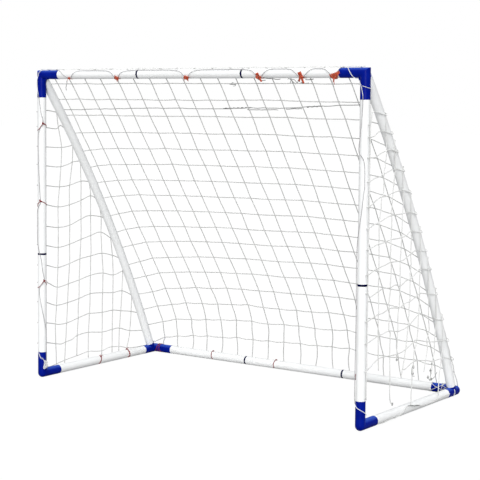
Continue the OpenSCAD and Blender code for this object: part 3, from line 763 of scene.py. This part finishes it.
def side_net(side, rows, columns, hem, seed, material):
    rnd.seed(seed)
    strands = Strands()
    plane = side * SIDE_PLANE
    rows = [[(FRONT_Y + y / 1000, GROUND_Z + z / 1000) for y, z in row] for row in rows]
    columns = [[(GROUND_Z + z / 1000, FRONT_Y + y / 1000) for z, y in column][::-1] for column in columns]

    def fits(y, z):
        return y < stay_y(z) - SEAM_GAP

    # Where column i and row j cross, as [y, z]
    grid = {}
    for i, column in enumerate(columns):
        for j, row in enumerate(rows):
            z = row[len(row) // 2][1]
            for _ in range(12):
                y = curve(column, z)
                z = curve(row, y)
            on_row = row[0][0] - 0.004 <= y <= row[-1][0] + 0.004
            on_column = column[0][0] - 0.004 < z < column[-1][0] + 0.06
            if on_row and on_column and fits(y, z):
                grid[i, j] = (y, z)
    for j, row in enumerate(rows):
        pts = []
        if row[0][0] < FRONT_Y + 0.01:
            pts = [on_post(side, row[0][1], side * turn) for turn in (62, 80, 97)]
        crossings = [at for (_, k), at in grid.items() if k == j]
        last = -math.inf
        for y, z in sorted([p for p in row[1:] if fits(*p)] + crossings):
            if y - last > ROW_GAP:
                pts.append((plane + wobble(0.0010), y, z + wobble(0.0008)))
                last = y
        y_end, z_end = row[-1]
        s, y_stay = net_back_at(z_end)
        if y_stay - y_end < 0.12 or j < len(rows) - 1:
            pts += [stay_side(side, s, turn) for turn in (88, 56, JOIN[side])]
        strands.add(catmull(pts, 4), TWINE_R)
    for i, column in enumerate(columns):
        z_top, y_top = column[-1]
        s, _ = net_back_at(bisect(z_top, BAR_Z, lambda z: stay_y(z) > y_top + 0.003))
        pts = [stay_side(side, s, turn) for turn in (JOIN[side], 56, 90)]
        crossings = [(z, y) for (k, _), (y, z) in grid.items() if k == i]
        last = math.inf
        for z, y in sorted([(z, y) for z, y in column if fits(y, z)] + crossings, reverse=True):
            if last - z > COLUMN_GAP:
                pts.append((plane + wobble(0.0010), y + wobble(0.0008), max(z, LOWEST_Z)))
                last = z
        strands.add(catmull(pts, 4), TWINE_R)
    for y, z in grid.values():
        net_knot(strands, (plane, y, z), (1, 0, 0), (0, 1, 0.3 * wobble(1)))
    # Front edge strand on the outer side of the upright, and the lower hem
    front_z = np.linspace(GROUND_Z + 0.09, GROUND_Z + BAR_Z - 0.12, 41)
    strands.add(catmull([on_post(side, z, side * (97 + wobble(3))) for z in front_z], 2), TWINE_R)
    edge = []
    for y, z in hem:
        if z < 12:
            turn = 180 - math.degrees(math.asin(z / 1000 / NET_R))
            edge.append(on_base(side, FRONT_Y + y / 1000, turn))
        else:
            edge.append((plane + wobble(0.0006), FRONT_Y + y / 1000, GROUND_Z + z / 1000))
    strands.add(catmull(edge, 5), HEM_R)
    # The corner cord that joins this net to the back net, behind the stay
    corner = []
    for k in range(70):
        s = AT_STAY + (AT_REAR - AT_STAY) * (0.035 + 0.965 * k / 69)
        corner.append(stay_side(side, s, JOIN[side] + 4 * math.sin(k * 1.7), NET_R + 0.0006))
    strands.add(catmull(corner, 2), TWINE_R * 1.1)
    hand = "right" if side > 0 else "left"
    strands.make("net_side_twine_" + hand, material, "net_twine", ["net_side_" + hand])


side_net(-1, LEFT_ROWS, LEFT_COLUMNS, LEFT_HEM, 23, TWINE)
# the right side net takes the painted-light copy of the twine
side_net(1, RIGHT_ROWS, RIGHT_COLUMNS, RIGHT_HEM, 37, TWINE_LIT_COPY)


# Loose ends and a small tangle at the foot of the right side net
def on_right_net(y, z, sunk=0.0):
    """A point on the right side net, in mm from the axes of the upright and the ground tube."""
    return np.array([SIDE_PLANE - sunk, FRONT_Y + y / 1000, GROUND_Z + z / 1000])


ends = Strands()
dark_end = [on_right_net(y, z) for y, z in ((299, 17), (325, 13), (350, 8), (375, 5), (396, 0))]
ends.add(catmull(dark_end, 5), 0.0012, taper=0.36)
ends.make("net_loose_end_dark", LACING, "net_twine")
tangle = Strands()
for k, (y, z, size) in enumerate(((185, 44, 0.0055), (336, 150, 0.0060), (332, 128, 0.0055),
                                  (212, 196, 0.0050),
                                  (468, 118, 0.0060), (449, 96, 0.0055), (476, 84, 0.0055),
                                  (478, 140, 0.0050))):
    tangle.knot(on_right_net(y, z, 0.0005), (1, 0, 0), (0, 1, 0.4 * k), size, 0.0012, 0.35, 36, 0.7 * k, 6)
for path in (((449, 96), (460, 84), (476, 84), (500, 88), (520, 104)),
             ((334, 160), (322, 142), (326, 122), (345, 116)), ((462, 120), (470, 104), (468, 92),
                                                                (480, 80))):
    tangle.add(catmull([on_right_net(y, z) for y, z in path], 6), 0.0012, sides=6, taper=0.36)
tangle.make("net_tangle_right", SEAM, "net_twine")

# --- the cord along the mouth
SPAN = BAR_END - BAR_JOINT
BAR_TIES = [0.159 * SPAN - BAR_END, 0.762 * SPAN - BAR_END, -0.012 * BAR_JOINT, BAR_END - 0.806 * SPAN,
            BAR_END - 0.367 * SPAN, BAR_END - 0.031 * SPAN]
TIE_TURN = -45
# The cord's way over an upright as [share of its height, turn], and over a top corner as [mm in, turn]
LEFT_ROUTE = [[0.0253, 95], [0.0759, 92], [0.1308, 96], [0.2109, 45], [0.2826, 8], [0.3138, 65], [0.3459, 48],
              [0.3881, 30], [0.4134, 6], [0.4471, -18], [0.5062, -22], [0.5509, -16], [0.5762, 25],
              [0.61, 18],
              [0.6834, 4], [0.7593, -6], [0.8099, 4], [0.8394, 55], [0.8732, 34], [0.9196, 12], [0.956, -14],
              [0.9836, -20]]
RIGHT_ROUTE = [[0.966, -18], [0.9449, 3], [0.9196, 8], [0.869, 0], [0.8184, -18], [0.7804, -33], [0.7534, 28],
               [0.6876, 38], [0.6623, 30], [0.5948, 6], [0.4978, -46], [0.405, -72], [0.2953, -80],
               [0.1856, -74],
               [0.1012, -60], [0.0615, -30], [0.045, 50], [0.0305, 120]]
LEFT_CORNER = [[3, 22], [16, 72], [50, 88], [105, 48]]
RIGHT_CORNER = [[96, 20], [84, 72], [66, 66], [48, 4], [35, -56], [24, -70]]
FACE = 0.078  # reach of a fitting from the corner of the mouth


def climb(a, b):
    """How the cord climbs over the bar between two ties."""
    if b - a > 0.114:
        return [[a + 0.038, 32], [(a + b) / 2, 44], [b - 0.038, 32]]
    return [[(a + b) / 2, 34]]


def post_route(side, route):
    return [on_post(side, GROUND_Z + share * POST_TOP, turn) for share, turn in catmull(route, 8)]


bar_route = [[p / 1000 - SIDE_X, turn] for p, turn in LEFT_CORNER]
for here, there in zip(BAR_TIES, BAR_TIES[1:]):
    bar_route += [[here, TIE_TURN], *climb(here, there)]
bar_route += [[BAR_TIES[-1], TIE_TURN]] + [[SIDE_X - p / 1000, turn] for p, turn in RIGHT_CORNER]
over_bar = [on_bar(x, turn) for x, turn in catmull(bar_route, 8)]
cord = np.array(post_route(-1, LEFT_ROUTE) + over_bar + post_route(1, RIGHT_ROUTE))
# The cord is white over the top corners and the right foot; elsewhere, on the white tubes, it is painted
# grey: painted shade
over = (((abs(cord[:, 0]) > SIDE_X - FACE) & (cord[:, 2] > BAR_Z - FACE))
        | ((cord[:, 0] > 0) & (cord[:, 2] < GROUND_Z + FACE)))
cuts = [0, *(np.nonzero(np.diff(over))[0] + 1), len(cord) - 1]
mouth, mouth_ends = Strands(), Strands()
for a, b in zip(cuts, cuts[1:]):
    (mouth_ends if over[a] else mouth).add(cord[a:b + 1], CORD_R, sides=8)
mouth.make("mouth_edge_cord", CORD, "edge_cord", ["mouth_cord"])
mouth_ends.make("mouth_edge_cord_white", WHITE_CORD, "edge_cord")

# --- ties on the crossbar
RIBBON_R = TUBE_R + 0.0008
bar_ties = Strands()


def bar_out(turn):
    """The direction straight out of the crossbar."""
    return on_bar(0, turn, 1, 0, 0)


def bar_tie(x, wide, size, path, tails):
    """A ribbon over the tube's front, under it and up behind to the net, with a knot and tails."""
    way = catmull([[x + dx, turn] for dx, turn in path] + [[x, -175], [x, -222]], 8)
    p = [on_bar(along, turn, RIBBON_R) for along, turn in way]
    bar_ties.add(p, wide, thick=0.00045, hint=[bar_out(turn) for _, turn in way], sides=12)
    centre = on_bar(x, TIE_TURN, NET_R + 0.0012)
    bar_ties.knot(centre, bar_out(TIE_TURN), (1, 0, 0), size, size * 0.30, 0.75, 40, sides=8)
    for reach, drop in tails:
        tail = catmull([centre, centre + [reach * 0.3, -0.003, -0.001],
                        centre + [reach * 0.7, -0.004, -drop * 0.5], centre + [reach, -0.001, -drop]], 6)
        bar_ties.add(tail, np.linspace(wide * 0.7, wide * 0.5, len(tail)), thick=0.0004, hint=(0, -1, 0.25),
                     sides=10)


# Each tie's half width, knot size, way over the tube as [x, turn] and tails as [reach, drop]
RIBBONS = [(0.0013, 0.0052, [[0, -34], [0, -95]], [(-0.006, 0.010)]),
           (0.0022, 0.0088, [[-0.009, -14], [-0.002, -60], [0.002, -100]], [(0.004, 0.014), (-0.010, 0.004)]),
           (0.0022, 0.0092, [[-0.012, -20], [-0.008, -60], [-0.008, -100]], [(0.010, 0.012),
                                                                             (-0.010, 0.012)]),
           (0.0066, 0.0090, [[-0.009, 2], [-0.003, -40], [0.004, -100]], [(0.012, 0.014), (-0.012, -0.006)]),
           (0.0072, 0.0076, [[-0.008, 12], [-0.003, -30], [0.004, -100]], [(0.010, 0.020), (-0.008, 0.014)]),
           (0.0026, 0.0060, [[0.004, -30], [-0.004, -95]], [(-0.003, 0.024), (-0.007, 0.016)])]
for x, ribbon in zip(BAR_TIES, RIBBONS):
    bar_tie(x, *ribbon)
# The last tie is a wide ribbon, bunched into a wedge that hangs below the tube
part = np.linspace(0, 1, 24)
for k in range(6):
    u = k / 5
    x0, t0 = BAR_TIES[-1] - 0.017 + 0.036 * u, -12 + 20 * u
    x1, t1 = BAR_TIES[-1] - 0.010 + 0.010 * u, -92 + 8 * u
    turns = t0 + (t1 - t0) * part
    radii = RIBBON_R + 0.0012 + 0.0024 * np.sin(math.pi * part) + 0.0005 * (k % 3)
    p = [on_bar(*q) for q in zip(x0 + (x1 - x0) * part ** (1.4 - 0.8 * u), turns, radii)]
    out = [bar_out(turn) for turn in turns]
    bar_ties.add(p, 0.0050 * (1 - 0.62 * part ** 1.3), thick=0.0006, hint=out, sides=12)
bar_ties.make("ties_orange_ribbon", RIBBON, "orange_tie", ["ties_crossbar"])

# --- red ties on the left upright
TIE_R = TUBE_R + 0.0009
POST_TIES = [[0.3138, 65], [0.5762, 25], [0.8394, 55]]
# Each loop, as [turn, drop] pairs: it is drawn up at the knot and follows the cord down to the left
POST_LOOPS = [[[65, 0], [36, -12], [8, -23], [-40, -28], [-130, -26], [-200, -20], [-245, -14], [-280, -4],
               [-295, 0]],
              [[25, 6], [-8, -2], [-45, -14], [-100, -18], [-180, -14], [-240, -8], [-266, -3], [-305, 2],
               [-335, 6]],
              [[58, 0], [30, -11], [4, -22], [-45, -27], [-130, -24], [-200, -16], [-240, -8], [-280, -4],
               [-302, 0]]]
post_ties = Strands()
for k, ((share, turn), loop) in enumerate(zip(POST_TIES, POST_LOOPS)):
    z = GROUND_Z + share * POST_TOP
    way = catmull(loop, 6)
    radius = 0.00085
    if k != 1:
        radius = np.interp(np.arange(len(way)), [0, 8, 30, 42, len(way)],
                           [0.0009, 0.0007, 0.0005, 0.0008, 0.0009])
    for w in range(2):
        post_ties.add([on_post(-1, z + drop / 1000 - 0.0017 * w, t, TIE_R) for t, drop in way], radius)
    centre = on_post(-1, z + loop[0][1] / 1000, turn, NET_R + 0.0014)
    c, s = unit(math.radians(turn))
    normal, beside = np.array([s, -c, 0]), np.array([c, s, 0])
    post_ties.knot(centre, normal, (0, 0, 1), 0.0040, 0.0012)
    for reach, drop in ((0.013, 0.006), (-0.004, -0.007)):
        out = beside * reach
        tail = catmull([centre, centre + out * 0.5 + normal * 0.002, centre + out - [0, 0, drop]], 6)
        post_ties.add(tail, 0.0008, sides=6, taper=0.25)
post_ties.make("ties_red_upright", RED, "red_tie", ["ties_upright_left"])

# --- red ties on the left ground tube
BASE_FROM, BASE_TO = FRONT_Y + 0.092, REAR_Y - 0.082
BASE_TIES = [BASE_FROM + share * (BASE_TO - BASE_FROM) for share in (0.458, 0.811)]
# Each as [distance behind its place, turn] pairs over the tube
BASE_PATHS = [[[-0.013, -52], [-0.010, -18], [-0.005, 14], [0, 44], [0.009, 75], [0.014, 106],
               [0.012, 150], [0.004, 232]],
              [[-0.018, -52], [-0.012, -28], [-0.013, 20], [-0.012, 60], [-0.006, 106], [-0.006, 150],
               [-0.006, 232]]]
base_ties = Strands()
for k, (y, path) in enumerate(zip(BASE_TIES, BASE_PATHS)):
    way = catmull(path, 6)
    for w in range(2 + k):
        p = [on_base(-1, y + dy + 0.0017 * w, t, TIE_R) for dy, t in way]
        base_ties.add(p, 0.0012 if k == 0 else np.linspace(0.0016, 0.0010, len(p)), taper=0.36)
    top = on_base(-1, y + (0, -0.006)[k], (56, 98)[k], TUBE_R + 0.0024)
    base_ties.knot(top, (0.5, 0, 0.86), (0, 1, 0), 0.0034 + 0.001 * k, 0.0012)
    tail = catmull([top, top + [0.003, 0.004, 0.006], top + [0.004, 0.010, 0.002]], 6)
    base_ties.add(tail, 0.0008, sides=6, taper=0.25)
base_ties.make("ties_red_ground_left", RED, "red_tie", ["ties_side_base_left"])

# --- red ties on the rear bar
rear_ties = Strands()
REAR_SPAN = REAR_END - REAR_JOINT
for x, skew in ((0.556 * REAR_SPAN - REAR_END, -0.004), (-0.38 * REAR_JOINT, 0.0008),
                (REAR_END - 0.834 * REAR_SPAN, 0.002)):
    for w in range(2):
        p = [on_rear(x + skew * (t - 60) / 60 + 0.0018 * w, t, TIE_R) for t in np.linspace(-52, 232, 40)]
        rear_ties.add(p, 0.00085, taper=0.36)
    rear_ties.knot(on_rear(x, 100, TUBE_R + 0.0024), (0, 0, 1), (1, 0, 0), 0.0038, 0.0011)
# Cross wrap on the left rear corner
for skew, off in ((0.010, 0.0), (-0.010, 0.0), (0.0015, 0.008), (-0.0015, -0.005)):
    p = [on_rear(0.0285 - SIDE_X + off + skew * (t - 70) / 80, t, BODY_R + 0.0010 + 0.0004 * (skew > 0))
         for t in np.linspace(-58, 238, 44)]
    rear_ties.add(p, 0.0010, taper=0.36)
rear_ties.make("ties_red_rear", RED, "red_tie", ["ties_rear_bar"])

# --- white lashings
LASH_R = BODY_R + 0.0013
lash = Strands()
# Each strand as [distance in from the corner, turn] pairs over the rear bar's fitting
for k, way in enumerate(([[0.101, 150], [0.098, 92], [0.088, 41], [0.052, -6], [0.041, -56]],
                         [[0.101, -56], [0.090, -22], [0.049, 51], [0.043, 92], [0.042, 150]],
                         [[0.062, 150], [0.056, 92], [0.047, 47], [0.0185, 0], [0.012, -50]],
                         [[0.056, -56], [0.047, -4], [0.0185, 44], [0.014, 92], [0.014, 150]],
                         [[0.046, -56], [0.047, -12], [0.048, 40], [0.047, 92], [0.046, 150]])):
    p = [on_rear(SIDE_X - inset, t, LASH_R + 0.0004 * k) for inset, t in catmull(way, 10)]
    lash.add(p, 0.0011, taper=0.36)
q = catmull([[0.675, -30], [0.690, 40], [0.692, 70], [0.690, 98], [0.679, 128], [0.675, 154], [0.673, 186],
             [0.673, 236]], 8)
lash.add([on_base(1, FRONT_Y + y, t, LASH_R) for y, t in q], 0.0013, taper=0.36)
lash.make("lashings_white_rear", WHITE, "white_lashing", ["lashings_rear_right"])

corner_cords = Strands()
# A short strand round the upright leg of the right top corner
p = [on_post(1, BAR_Z - 0.0440 - 0.0075 * t / 80, t, LASH_R) for t in np.linspace(-2, 150, 30)]
corner_cords.add(p, 0.0011, taper=0.49)
# The bundle of knotted cord in the left front corner
for k, (dx, dz, size) in enumerate(((0.0215, 0.044, 0.0080), (0.0240, 0.034, 0.0085),
                                    (0.0225, 0.026, 0.0070))):
    centre = np.array([-SIDE_X + dx, FRONT_Y - 0.004 - 0.003 * k, GROUND_Z + dz])
    corner_cords.knot(centre, (0.7, -0.7, 0.1), (0, 0, 1), size, 0.0013, turns=48, spin=k)
bundle = catmull([[-12, 84], [4, 74], [22, 62], [48, 58], [80, 42], [109, 21], [150, 24], [200, 60],
                  [290, 88]], 8)
for higher, r in ((0, 0.0008), (3, 0.0006)):
    p = [on_post(-1, GROUND_Z + (z + higher) / 1000, t, LASH_R) for t, z in bundle]
    corner_cords.add(p, r, taper=0.25)
corner_cords.make("corner_cords_white", WHITE, "white_lashing")

# --- lips of the joint rings
LIP = 0.0040  # half width: each ring's low lip laps over both tubes' ends
for side, end in ((-1, "left"), (1, "right")):
    for node, place, at in (("crossbar", on_bar, (side * BAR_JOINT,)), ("upright", on_post,
                                                                        (side, POST_JOINT)),
                            ("rear", on_rear, (side * REAR_JOINT,))):
        ring = np.array([place(*at, t, TUBE_R - 0.0002) for t in range(0, 360, 5)])
        lip = Strands()
        lip.add(ring, LIP, thick=0.0004, hint=ring - ring.mean(0), sides=12, closed=True)
        lip.make(node + "_ring_lip_" + end, NAVY, "navy_ring")

# --- floor and light


def coloured(tree, kind, colour, strength=None):
    node = tree.nodes.new(kind)
    node.inputs[0].default_value = (*colour, 1)
    if strength is not None:
        node.inputs[1].default_value = strength
    return node


def white_for_camera(tree, output, lit, white, share):
    """The shader lit lights the scene; the camera sees this share of white."""
    new, link = tree.nodes.new, tree.links.new
    part = new("ShaderNodeMath")
    part.operation = "MULTIPLY"
    part.inputs[1].default_value = share
    mix = new("ShaderNodeMixShader")
    link(new("ShaderNodeLightPath").outputs["Is Camera Ray"], part.inputs[0])
    for socket, source in zip(mix.inputs, (part, lit, white)):
        link(source.outputs[0], socket)
    link(mix.outputs[0], new(output).inputs[0])


FLOOR = bpy.data.materials.new("floor_pale")
tree = fresh_tree(FLOOR)
white_for_camera(tree, "ShaderNodeOutputMaterial", coloured(tree, "ShaderNodeBsdfDiffuse",
                                                            (0.36, 0.36, 0.36)),
                 coloured(tree, "ShaderNodeEmission", (1, 1, 1), 1.18), 0.80)
mesh = bpy.data.meshes.new("floor")
mesh.from_pydata([(-40, -40, 0), (40, -40, 0), (40, 40, 0), (-40, 40, 0)], [], [(0, 1, 2, 3)])
mesh.materials.append(FLOOR)
floor = put_in_scene("floor", mesh)

world = bpy.data.worlds.new("world")
bpy.context.scene.world = world
tree = fresh_tree(world)
new, link = tree.nodes.new, tree.links.new
soft = coloured(tree, "ShaderNodeBackground", (0.97, 0.985, 1.0))
split, upward = new("ShaderNodeSeparateXYZ"), new("ShaderNodeMapRange")
upward.inputs["To Min"].default_value = 0.20
upward.inputs["To Max"].default_value = 1.15
link(new("ShaderNodeTexCoord").outputs["Generated"], split.inputs[0])
link(split.outputs["Z"], upward.inputs["Value"])
link(upward.outputs[0], soft.inputs[1])
white_for_camera(tree, "ShaderNodeOutputWorld", soft, coloured(tree, "ShaderNodeBackground",
                                                               (1, 1, 1), 1.0), 1.0)


def lamp(name, toward, spread, strength):
    """A wide soft lamp far away, shining along toward."""
    data = bpy.data.lights.new(name, "SUN")
    data.angle = math.radians(spread)
    data.energy = strength
    put_in_scene(name, data).rotation_euler = Vector(toward).to_track_quat("-Z", "Y").to_euler()


lamp("key", (-0.33, 0.50, -0.80), 24, 0.75)
lamp("fill", (-0.52, 0.83, -0.16), 20, 1.95)

scene = bpy.context.scene
scene.view_settings.view_transform = "Standard"
